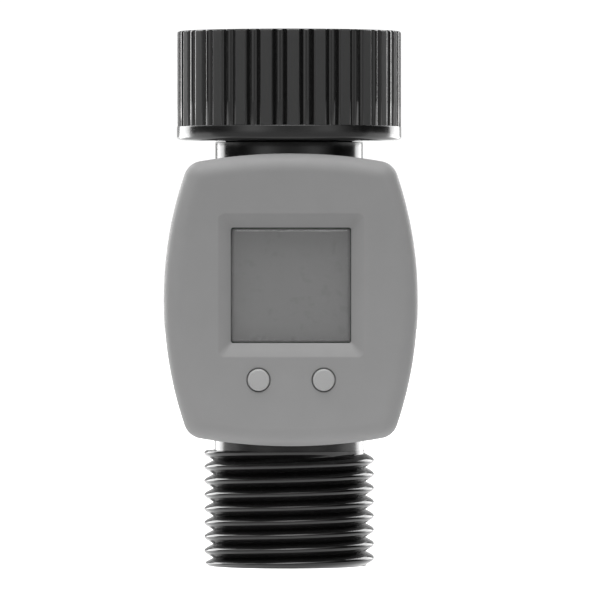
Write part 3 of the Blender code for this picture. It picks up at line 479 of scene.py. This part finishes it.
def rib_samples():
    """Angles round the nut, each with its share of the rib's height; the grooves are V-shaped."""
    repeat = 360 / RIB_REPEATS
    groove = repeat / 2 - WIDE_HALF - NARROW_HALF
    samples = []
    for i in range(RIB_REPEATS):
        wide = FIRST_RIB + i * repeat
        for middle, half, crown in ((wide, WIDE_HALF, 0.0),
                                    (wide + repeat / 2, NARROW_HALF, NARROW_CROWN)):
            for part in (-0.75, -0.4, 0.0, 0.4, 0.75):
                samples.append((middle + half * part, 1.0 - crown * part ** 2))
            for part, share in GROOVE:
                top = 1.0 - crown if part < 0.5 else 1.0 - (NARROW_CROWN - crown)
                samples.append((middle + half + groove * part, top * share))
    return [(math.radians(angle), share) for angle, share in samples]


def make_nut():
    samples = rib_samples()

    def ring(height, reach):
        row = []
        for angle, share in samples:
            radius = reach(angle, share)
            row.append((radius * math.cos(angle), radius * math.sin(angle), height))
        return row

    top, bottom = NUT_HIGH[2], NUT_LOW[2]
    outer = NUT_HIGH[0]
    rows = []
    flange = rounded([
        (NUT_HOLE, bottom, 0.2), (outer, bottom, 0.6), (outer, NUT_RIB_BOTTOM - 0.05, 0.12),
        (RIB_OUTER - 0.3, NUT_RIB_BOTTOM - 0.05, 0),
    ], closed=False)
    rows += [ring(height, lambda a, s, r=radius: r) for radius, height in flange[:-1]]

    def rib(_, share, cap=RIB_OUTER):
        return min(RIB_ROOT + (RIB_OUTER - RIB_ROOT) * share, cap)

    rows.append(ring(NUT_RIB_BOTTOM, rib))
    rows += [ring(height, rib) for height in (NUT_RIB_BOTTOM + 4, NUT_RIB_BOTTOM + 10)]
    crown = rounded([
        (RIB_OUTER, top - 2, 0), (RIB_OUTER, top, 0.4), (NUT_MOUTH, top, 0.25),
        (FEMALE_MAJOR, top - 0.7, 0),
    ], closed=False, pieces=6)
    for radius, height in crown:
        rows.append(ring(height, lambda a, s, r=radius: rib(a, s, r)))

    def socket(angle, height):
        turns = height / HOSE_PITCH - angle / (2 * math.pi)
        radius = FEMALE_MAJOR - (FEMALE_MAJOR - FEMALE_MINOR) * thread_ridge(turns)
        return max(radius, FEMALE_MAJOR - (top - 0.7 - height))

    for height in spread(top - 0.75, NUT_THREAD_BOTTOM, 0.17):
        rows.append(ring(height, lambda a, s: socket(a, height)))
    inner = [(NUT_HOLLOW, NUT_THREAD_BOTTOM - 0.05), (NUT_HOLLOW, NUT_WEB_TOP),
             (NUT_HOLE, NUT_WEB_TOP)]
    rows += [ring(height, lambda a, s, r=radius: r) for radius, height in inner]
    bm = bmesh.new()
    rows_to_faces(bm, rows, close_rows=True)
    nut = piece("swivel_nut", bm, NUT_BLACK, "nut", "black_fitting", "inlet_nut", angle=50)
    mark_satin(nut.data)


def mark_satin(mesh):
    """Marks the tops of the wide ribs, which have a satin finish on the glossy nut."""
    repeat = 360 / RIB_REPEATS
    marks = mesh.attributes.new("satin", "FLOAT", "POINT")
    for vertex, mark in zip(mesh.vertices, marks.data):
        x, y, z = vertex.co
        from_rib = (math.degrees(math.atan2(y, x)) - FIRST_RIB + repeat / 2) % repeat - repeat / 2
        on_rib = z > NUT_RIB_BOTTOM * MM - WELD and math.hypot(x, y) > (RIB_OUTER - 0.1) * MM
        mark.value = 1.0 if on_rib and abs(from_rib) < WIDE_HALF * 0.8 else 0.0


def make_inlet_seals():
    bm = bmesh.new()
    lathe(bm, rounded([
        (WASHER_OUTER, WASHER_HIGH[2], 0.35), (WASHER_OUTER, WASHER_LOW[2], 0.35),
        (WASHER_INNER, WASHER_LOW[2], 0.35), (WASHER_INNER, WASHER_HIGH[2], 0.35),
    ]))
    piece("inlet_washer", bm, WASHER, "housing", "washer_rubber", "hose_washer")
    bm = bmesh.new()
    low, high = SCREEN_LOW[2], SCREEN_HIGH[2]
    lathe(bm, rounded([(SCREEN_OUTER, high, 0.2), (SCREEN_OUTER, low, 0.2),
                       (SCREEN_INNER, low, 0.2), (SCREEN_INNER, high, 0.2)]))
    for i in range(WIRES):
        across = -SCREEN_INNER + WIRE_SPACING * (i + 0.5)
        half = math.sqrt(WIRE_REACH ** 2 - across ** 2)
        for along_x in (True, False):
            add_wire(bm, across, half, (low + high) / 2, along_x, i)
    piece("screen_mesh", bm, STEEL, "housing", "steel", "inlet_screen")


def add_wire(bm, across, half, height, along_x, index):
    """One woven wire of the screen, rising and falling over its neighbours."""
    sides, parts = 6, 52
    rows = []
    for k in range(parts + 1):
        along = -half + 2 * half * k / parts
        wave = math.cos(math.pi * along / WIRE_SPACING) * (1 if (index + along_x) % 2 else -1)
        row = []
        for side in range(sides):
            angle = 2 * math.pi * side / sides
            offset = across + WIRE_RADIUS * math.cos(angle)
            rise = height + WIRE_WAVE * wave + WIRE_RADIUS * math.sin(angle)
            row.append((along, offset, rise) if along_x else (offset, along, rise))
        rows.append(row)
    rows_to_faces(bm, rows)
    cap_row(bm, rows[0])
    cap_row(bm, rows[-1])


# ------------------------------------------------------------------ housing

def arc(centre, radius, start, stop, count):
    """Points along an arc, without its last one."""
    return [(centre[0] + radius * math.cos(start + (stop - start) * i / count),
             centre[1] + radius * math.sin(start + (stop - start) * i / count))
            for i in range(count)]


def barrel(inset, smallest=1.2, side_count=28, end_count=28, corner_count=12):
    """The housing's front view, drawn in by inset: four shallow arcs with rounded corners."""
    side, end = SIDE_ARC - inset, END_ARC - inset
    corner = max(CORNER_ARC - inset, smallest)
    side_centre, end_centre = SIDE_ARC - HALF_WIDTH, END_ARC - HALF_HEIGHT
    span = math.hypot(side_centre, end_centre)
    reach_side, reach_end = side - corner, end - corner
    along = (reach_side ** 2 - reach_end ** 2 + span ** 2) / (2 * span)
    across = math.sqrt(reach_side ** 2 - along ** 2)
    x = -side_centre + side_centre / span * along + end_centre / span * across
    z = -end_centre / span * along + side_centre / span * across
    side_angle = math.atan2(z, x + side_centre)
    end_angle = math.atan2(z + end_centre, x)
    half = arc((x, z), corner, side_angle, end_angle, corner_count)
    half += arc((0, -end_centre), end, end_angle, math.pi - end_angle, end_count)
    half += [(-px, pz) for px, pz in reversed(half[:corner_count + 1])][:-1]
    half += arc((side_centre, 0), side, math.pi - side_angle, math.pi + side_angle, side_count)
    return half + [(-px, -pz) for px, pz in half]


def housing_row(inset, depth, sign, smallest=1.2):
    return [(x, sign * depth, HOUSING_MIDDLE + z) for x, z in barrel(inset, smallest)]


def rounded_rectangle(size, radius, centre, pieces=5):
    """A rectangle with rounded corners, anticlockwise from its upper right corner."""
    half_x, half_z = size[0] / 2 - radius, size[1] / 2 - radius
    points = []
    for quarter, (sx, sz) in enumerate(((1, 1), (-1, 1), (-1, -1), (1, -1))):
        for k in range(pieces + 1):
            angle = math.pi / 2 * (quarter + k / pieces)
            points.append((centre[0] + sx * half_x + radius * math.cos(angle),
                           centre[1] + sz * half_z + radius * math.sin(angle)))
    return points


def flat_face(bm, depth, outer, holes):
    """A flat face at one depth between an outer loop and its holes."""
    points, edges = [], []
    for loop in [outer] + holes:
        first = len(points)
        points += [Vector(point) for point in loop]
        edges += [(first + i, first + (i + 1) % len(loop)) for i in range(len(loop))]
    found = delaunay_2d_cdt(points, edges, [], 1, 1e-6)
    made = [bm.verts.new((point.x, depth, point.y)) for point in found[0]]
    for corners in found[2]:
        middle = sum((found[0][i] for i in corners), Vector((0, 0))) / len(corners)
        if any(inside(middle, hole) for hole in holes):
            continue
        bm.faces.new([made[i] for i in corners])


def inside(point, loop):
    odd = False
    for (ax, ay), (bx, by) in zip(loop, loop[1:] + loop[:1]):
        if (ay > point.y) != (by > point.y):
            if point.x < (bx - ax) * (point.y - ay) / (by - ay) + ax:
                odd = not odd
    return odd


def hole_wall(bm, loops, depths):
    """The wall of a hole: one row of points for each loop and its depth."""
    rows_to_faces(bm, [[(x, depth, z) for x, z in loop] for loop, depth in zip(loops, depths)])


def circle_loop(centre, radius, steps=64):
    return [(x, z) for x, z, _ in circle_row(radius, 0, steps, centre)]


def shell(bm, sign):
    """Outer and inner skins of one housing half, up to their flat faces."""
    outer = [(0.0, SPLIT + 0.1)] + [(0.0, depth) for depth in SIDE_BREAKS]
    count = 12
    for i in range(count + 1):
        angle = math.pi / 2 * i / count
        outer.append((EDGE_ROUND * (1 - math.cos(angle)),
                      HALF_DEPTH - EDGE_ROUND * (1 - math.sin(angle))))
    outer.append((EDGE_ROUND + GUARD, HALF_DEPTH))
    rows = [housing_row(0.12, SPLIT, sign)]
    rows += [housing_row(inset, depth, sign) for inset, depth in outer]
    inner_round = EDGE_ROUND - WALL
    inner = [(WALL, SPLIT)]
    for i in range(7):
        angle = math.pi / 2 * i / 6
        inner.append((WALL + inner_round * (1 - math.cos(angle)),
                      HALF_DEPTH - WALL - inner_round * (1 - math.sin(angle))))
    inner_rows = [housing_row(inset, depth, sign) for inset, depth in inner]
    rows_to_faces(bm, list(reversed(inner_rows)) + rows)
    return barrel(EDGE_ROUND + GUARD), barrel(EDGE_ROUND)


def lifted(loop):
    return [(x, HOUSING_MIDDLE + z) for x, z in loop]


def neck_cutter():
    bm = bmesh.new()
    steps = 128
    rows = [circle_row(NECK_HOLE, height, steps) for height in NECK_CUT]
    rows_to_faces(bm, rows)
    for row in rows:
        cap_row(bm, row)
    return cutter("neck_cutter", bm)


def cutter(name, bm, where=(0, 0, 0), direction="+Z"):
    """A closed shape that is taken away from a piece and then removed."""
    bmesh.ops.remove_doubles(bm, verts=bm.verts, dist=WELD / MM)
    bmesh.ops.recalc_face_normals(bm, faces=bm.faces)
    matrix = Matrix.Translation(Vector(where)) @ TURN[direction].to_4x4()
    bm.transform(Matrix.Scale(MM, 4) @ matrix)
    mesh = bpy.data.meshes.new(name)
    bm.to_mesh(mesh)
    bm.free()
    made = bpy.data.objects.new(name, mesh)
    bpy.context.scene.collection.objects.link(made)
    return made


def cut_away(made, cutters):
    """Applies the cuts to the mesh, so that no helper is left in the scene."""
    for tool in cutters:
        change = made.modifiers.new("cut", "BOOLEAN")
        change.operation = "DIFFERENCE"
        change.solver = "EXACT"
        change.object = tool
    bpy.context.view_layer.update()
    evaluated = made.evaluated_get(bpy.context.evaluated_depsgraph_get())
    mesh = bpy.data.meshes.new_from_object(evaluated)
    made.modifiers.clear()
    made.data = mesh
    for tool in cutters:
        bpy.data.objects.remove(tool, do_unlink=True)
    mesh.shade_smooth()
    mesh.set_sharp_from_angle(angle=math.radians(35))


def make_front_shell():
    bm = bmesh.new()
    outer, inner = shell(bm, -1)
    centre = (0, DISPLAY_HEIGHT)
    wide, narrow = RECESS_OUTER, RECESS_INNER
    face = -HALF_DEPTH
    floor = face + RECESS_DEPTH
    loops, depths = [], []

    def grow(size, by):
        return (size[0] + 2 * by, size[1] + 2 * by)

    fillet = 0.45
    slope = math.atan2(RECESS_DEPTH, (wide[0] - narrow[0]) / 2)
    reach = fillet * math.tan(slope / 2)
    loops.append(rounded_rectangle(grow(wide, reach + GUARD), 1.0, centre))
    depths.append(face)
    for k in range(6):
        angle = slope * k / 5
        loops.append(rounded_rectangle(grow(wide, reach - fillet * math.sin(angle)), 0.9, centre))
        depths.append(face + fillet * (1 - math.cos(angle)))
    loops.append(rounded_rectangle(grow(narrow, 0.05), 0.45, centre))
    depths.append(floor - 0.03)
    for size, depth in ((narrow, floor + 0.03), (narrow, face + WALL)):
        loops.append(rounded_rectangle(size, 0.4, centre))
        depths.append(depth)
    hole_wall(bm, loops, depths)
    front_holes, back_holes = [loops[0]], [loops[-1]]
    for x in (-BUTTON_OFFSET, BUTTON_OFFSET):
        spot = (x, BUTTON_HEIGHT)
        hole = BUTTON_RADIUS + BUTTON_GAP
        rims = [(hole + 0.2 + GUARD, face)]
        for k in range(5):
            angle = math.pi / 2 * k / 4
            rims.append((hole + 0.2 - 0.2 * math.sin(angle), face + 0.2 * (1 - math.cos(angle))))
        rims.append((hole, face + WALL))
        circles = [circle_loop(spot, radius) for radius, _ in rims]
        hole_wall(bm, circles, [depth for _, depth in rims])
        front_holes.append(circles[0])
        back_holes.append(circles[-1])
    flat_face(bm, face, lifted(outer), front_holes)
    flat_face(bm, face + WALL, lifted(inner), back_holes)
    made = piece("front_shell", bm, GREY, "housing", "grey_housing", "front_housing")
    cut_away(made, [neck_cutter()])


def make_rear_shell():
    bm = bmesh.new()
    outer, inner = shell(bm, 1)
    face = HALF_DEPTH
    spot = (0, COVER_MIDDLE)
    lip = 0.25
    rims = [(COVER_SEAT + lip + GUARD, face)]
    for k in range(5):
        angle = math.pi / 2 * k / 4
        rims.append((COVER_SEAT + lip - lip * math.sin(angle), face - lip * (1 - math.cos(angle))))
    rims += [(COVER_SEAT, 17.7), (11.9, 17.7)]
    circles = [[(x, depth, z) for x, z in circle_loop(spot, radius, 96)] for radius, depth in rims]
    for depth in spread(17.45, 14.9, 0.12):
        circles.append([(x, depth, z) for x, z in circle_loop(
            spot, lambda angle: cover_thread(angle, depth) + COVER_CLEARANCE, 96)])
    circles += [[(x, depth, z) for x, z in circle_loop(spot, radius, 96)]
                for radius, depth in ((CELL_WELL, 14.8), (CELL_WELL, CELL_WELL_FLOOR))]
    rows_to_faces(bm, circles)
    cap_row(bm, circles[-1])
    cup = [[(x, depth, z) for x, z in circle_loop(spot, CUP_RADIUS, 96)]
           for depth in (face - WALL, CUP_FLOOR)]
    rows_to_faces(bm, cup)
    cap_row(bm, cup[-1])
    flat_face(bm, face, lifted(outer), [[(x, z) for x, _, z in circles[0]]])
    flat_face(bm, face - WALL, lifted(inner), [[(x, z) for x, _, z in cup[0]]])
    made = piece("rear_shell", bm, GREY, "housing", "grey_housing", "rear_housing")
    tools = [neck_cutter()]
    for i in range(4):
        low, high = extent("housing_screw_%d" % (i + 1))
        hole = bmesh.new()
        rows = [circle_row(radius, depth, 32) for radius, depth in SCREW_HOLE]
        rows_to_faces(hole, rows)
        cap_row(hole, rows[0])
        cap_row(hole, rows[-1])
        middle = ((low[0] + high[0]) / 2, 0, (low[2] + high[2]) / 2)
        tools.append(cutter("screw_hole_%d" % i, hole, middle, "+Y"))
    cut_away(made, tools)


def cover_thread(angle, depth):
    """Radius of the cover's thread; the angle is anticlockwise in the X-Z plane seen from -Y."""
    turns = depth / COVER_PITCH + angle / (2 * math.pi) - 0.5
    away = 2 * abs(turns - round(turns))
    ridge = min(1.0, max(0.0, (1 - away) / 0.8))
    return COVER_MINOR + (COVER_MAJOR - COVER_MINOR) * ridge


def make_cover():
    bm = bmesh.new()
    steps = 96
    back = COVER_HIGH[1]
    outside = rounded([
        (0.0, back, 0), (COVER_RADIUS, back, 0.7), (COVER_RADIUS, COVER_UNDER, 0.15),
        (12.0, COVER_UNDER, 0),
    ], closed=False, pieces=6)[1:]
    rows = [circle_loop((0, COVER_MIDDLE), radius, steps) for radius, _ in outside]
    depths = [depth for _, depth in outside]
    for depth in spread(COVER_UNDER - 0.2, COVER_THREAD_END, 0.12):
        rows.append(circle_loop((0, COVER_MIDDLE), lambda angle: min(
            cover_thread(angle, depth), 11.5 + (depth - COVER_THREAD_END)), steps))
        depths.append(depth)
    for radius, depth in ((COVER_CUP, COVER_THREAD_END), (COVER_CUP, 17.9)):
        rows.append(circle_loop((0, COVER_MIDDLE), radius, steps))
        depths.append(depth)
    points = [[(x, depth, z) for x, z in row] for row, depth in zip(rows, depths)]
    rows_to_faces(bm, points)
    cap_row(bm, points[-1])
    slot_loops = [rounded_rectangle((COVER_SLOT[0] + 2 * by, COVER_SLOT[1] + 2 * by), 0.85 + by,
                                    (0, COVER_MIDDLE)) for by in (0.2, 0.15, 0.05, 0.0, 0.0)]
    slot_depths = [back, back, back - 0.05, back - 0.2, COVER_SLOT_FLOOR]
    hole_wall(bm, slot_loops, slot_depths)
    cap_row(bm, [(x, COVER_SLOT_FLOOR, z) for x, z in slot_loops[-1]])
    flat_face(bm, back, rows[0], [slot_loops[0]])
    piece("screw_cover", bm, GREY, "cover", "grey_housing", "battery_cover")


# -------------------------------------------------------- display and buttons

def stacked_plate(bm, levels, centre):
    """A closed plate of rounded rectangles, each (size, corner radius, depth)."""
    rows = [[(x, depth, z) for x, z in rounded_rectangle(size, radius, centre)]
            for size, radius, depth in levels]
    rows_to_faces(bm, rows)
    cap_row(bm, rows[0])
    cap_row(bm, rows[-1])


def make_window():
    bm = bmesh.new()
    width = RECESS_INNER[0] - 2 * WINDOW_GAP
    height = RECESS_INNER[1] - 2 * WINDOW_GAP
    front = WINDOW_LOW[1]
    bevel = WINDOW_BEVEL
    stacked_plate(bm, [
        ((width - 2 * bevel - 0.1, height - 2 * bevel - 0.1), 0.3, front),
        ((width - 2 * bevel, height - 2 * bevel), 0.35, front + 0.01),
        ((width - 0.1, height - 0.1), 0.4, front + 0.32),
        ((width, height), 0.4, front + 0.42),
        ((width, height), 0.4, WINDOW_FLANGE_FRONT),
        (WINDOW_FLANGE, 0.6, WINDOW_FLANGE_FRONT), (WINDOW_FLANGE, 0.6, WINDOW_HIGH[1]),
    ], (0, DISPLAY_HEIGHT))
    piece("window", bm, WINDOW, "housing", "window", "display_window")


def make_buttons():
    for side, sign in (("left", -1), ("right", 1)):
        bm = bmesh.new()
        flange, low, high = BUTTON_FLANGE
        path = rounded([
            (0.0, -BUTTON_LOW[1], 0), (BUTTON_RADIUS, -BUTTON_LOW[1], 0.35),
            (BUTTON_RADIUS, high, 0), (flange, high, 0.1), (flange, low, 0.1), (1.0, low, 0),
            (1.0, -BUTTON_HIGH[1], 0.1), (0.0, -BUTTON_HIGH[1], 0),
        ], closed=False, pieces=6)[1:-1]
        rows = [circle_row(radius, height, 64) for radius, height in path]
        inner = circle_row(0.6, -BUTTON_LOW[1], 64)
        rows_to_faces(bm, [inner] + rows)
        cap_row(bm, inner)
        cap_row(bm, rows[-1])
        piece("push_button_" + side, bm, BUTTON_GREY, "button_" + side[0], "button_grey",
              "button_" + side, where=(sign * BUTTON_OFFSET, 0, BUTTON_HEIGHT), direction="-Y")


# -------------------------------------------------------------- kept nodes

def dress_kept_nodes():
    """Every frame node gets its slot's finish; the ones that a piece replaces stay hidden."""
    slots = {row["node"]: row["material_slot"] for row in frame["record"]["subparts"]}
    for name, kept in frame["nodes"].items():
        kept.data.materials.clear()
        kept.data.materials.append(FINISHES[slots[name]])


# ------------------------------------------------------------ stage and light

# Where the floor's glow ends towards the camera and where it is full, and its strength at both
GLOW_EDGES = (-0.12, -0.03)
GLOW_LEVELS = (0.1, 1.3)


def make_stage():
    mesh = bpy.data.meshes.new("floor")
    half = 3.0
    mesh.from_pydata([(-half, -half, 0), (half, -half, 0), (half, half, 0), (-half, half, 0)], [],
                     [(0, 1, 2, 3)])
    floor = bpy.data.objects.new("floor", mesh)
    bpy.context.scene.collection.objects.link(floor)
    made, tree, shader = node_material(PALE, grey(0.34), 0.9)
    shader.inputs["Specular IOR Level"].default_value = 0.0
    shader.inputs["Emission Color"].default_value = (1, 1, 1, 1)
    place = tree.nodes.new("ShaderNodeTexCoord")
    split = tree.nodes.new("ShaderNodeSeparateXYZ")
    tree.links.new(place.outputs["Object"], split.inputs["Vector"])
    glow = remap(tree, split.outputs["Y"], *GLOW_LEVELS, *GLOW_EDGES)
    tree.links.new(glow, shader.inputs["Emission Strength"])
    mesh.materials.append(made)


# Soft boxes round the object: azimuth from the camera's side (positive to its right), elevation,
# strength and tightness
SOFT_BOXES = (
    (0.0, 5.0, 0.5, 4.0),
    (-40.0, 5.0, 1.3, 16.0),
    (40.0, 5.0, 1.0, 16.0),
    (0.0, 72.0, 10.5, 12.0),
    (-90.0, 45.0, 2.1, 12.0),
    (180.0, 0.0, 1.1, 10.0),
)


def soft_box(tree, place, azimuth, elevation, strength, tightness):
    """A round glow in one direction that falls off with the angle from it."""
    turn, rise = math.radians(azimuth), math.radians(elevation)
    facing = tree.nodes.new("ShaderNodeVectorMath")
    facing.operation = "DOT_PRODUCT"
    facing.inputs[1].default_value = (math.sin(turn) * math.cos(rise),
                                      -math.cos(turn) * math.cos(rise), math.sin(rise))
    tree.links.new(place, facing.inputs[0])
    level = facing.outputs["Value"]
    for operation, value in (("MAXIMUM", 0.0), ("POWER", tightness), ("MULTIPLY", strength)):
        step = tree.nodes.new("ShaderNodeMath")
        step.operation = operation
        step.inputs[1].default_value = value
        tree.links.new(level, step.inputs[0])
        level = step.outputs["Value"]
    return level


def make_world():
    world = bpy.data.worlds.new("studio")
    bpy.context.scene.world = world
    world.use_nodes = True
    tree = world.node_tree
    place = tree.nodes.new("ShaderNodeTexCoord").outputs["Generated"]
    total = None
    for settings in SOFT_BOXES:
        level = soft_box(tree, place, *settings)
        if total is not None:
            both = tree.nodes.new("ShaderNodeMath")
            tree.links.new(total, both.inputs[0])
            tree.links.new(level, both.inputs[1])
            level = both.outputs["Value"]
        total = level
    background = tree.nodes["Background"]
    background.inputs["Color"].default_value = (1, 1, 1, 1)
    tree.links.new(total, background.inputs["Strength"])


# Upright light panels behind the object: name, azimuth and power
LIGHT_PANELS = (("left_panel", -136.0, 2.1), ("right_panel", 138.0, 1.8))
LIGHT_SIZE = (0.2, 0.5)
LIGHT_DISTANCE = 0.4


def make_panels():
    """The panels stand on the floor and light the object's edges from behind."""
    for name, azimuth, power in LIGHT_PANELS:
        data = bpy.data.lights.new(name, "AREA")
        data.shape = "RECTANGLE"
        data.size, data.size_y = LIGHT_SIZE
        data.energy = power
        panel = bpy.data.objects.new(name, data)
        bpy.context.scene.collection.objects.link(panel)
        turn = math.radians(azimuth)
        where = Vector((math.sin(turn), -math.cos(turn), 0)) * LIGHT_DISTANCE
        panel.location = where + Vector((0, 0, LIGHT_SIZE[1] / 2 + 0.001))
        panel.rotation_euler = (-where).to_track_quat("-Z", "Y").to_euler()


# The camera's place and aim, and how wide it sees at the tube axis
CAMERA_DISTANCE = 1.2
CAMERA_TURN = math.radians(-0.98)
CAMERA_ACROSS = 0.00094
CAMERA_HEIGHT = 0.0525
AIM_HEIGHT = 0.04284
VIEW_WIDTH = 0.0935
SENSOR = 36.0


def make_camera():
    data = bpy.data.cameras.new("camera")
    data.sensor_width = SENSOR
    data.lens = SENSOR * CAMERA_DISTANCE / VIEW_WIDTH
    data.clip_end = 20.0
    camera = bpy.data.objects.new("camera", data)
    bpy.context.scene.collection.objects.link(camera)
    side = Vector((math.cos(CAMERA_TURN), math.sin(CAMERA_TURN), 0))
    back = Vector((math.sin(CAMERA_TURN), -math.cos(CAMERA_TURN), 0))
    camera.location = back * CAMERA_DISTANCE + side * CAMERA_ACROSS + Vector((0, 0, CAMERA_HEIGHT))
    tilt = math.atan2(CAMERA_HEIGHT - AIM_HEIGHT, CAMERA_DISTANCE)
    camera.rotation_euler = (math.pi / 2 - tilt, 0, CAMERA_TURN)
    bpy.context.scene.camera = camera
    bpy.context.scene.view_settings.view_transform = "Standard"


make_camera()
make_stage()
make_world()
make_panels()
dress_kept_nodes()
make_outlet()
make_tail()
make_nut()
make_inlet_seals()
make_front_shell()
make_rear_shell()
make_cover()
make_window()
make_buttons()
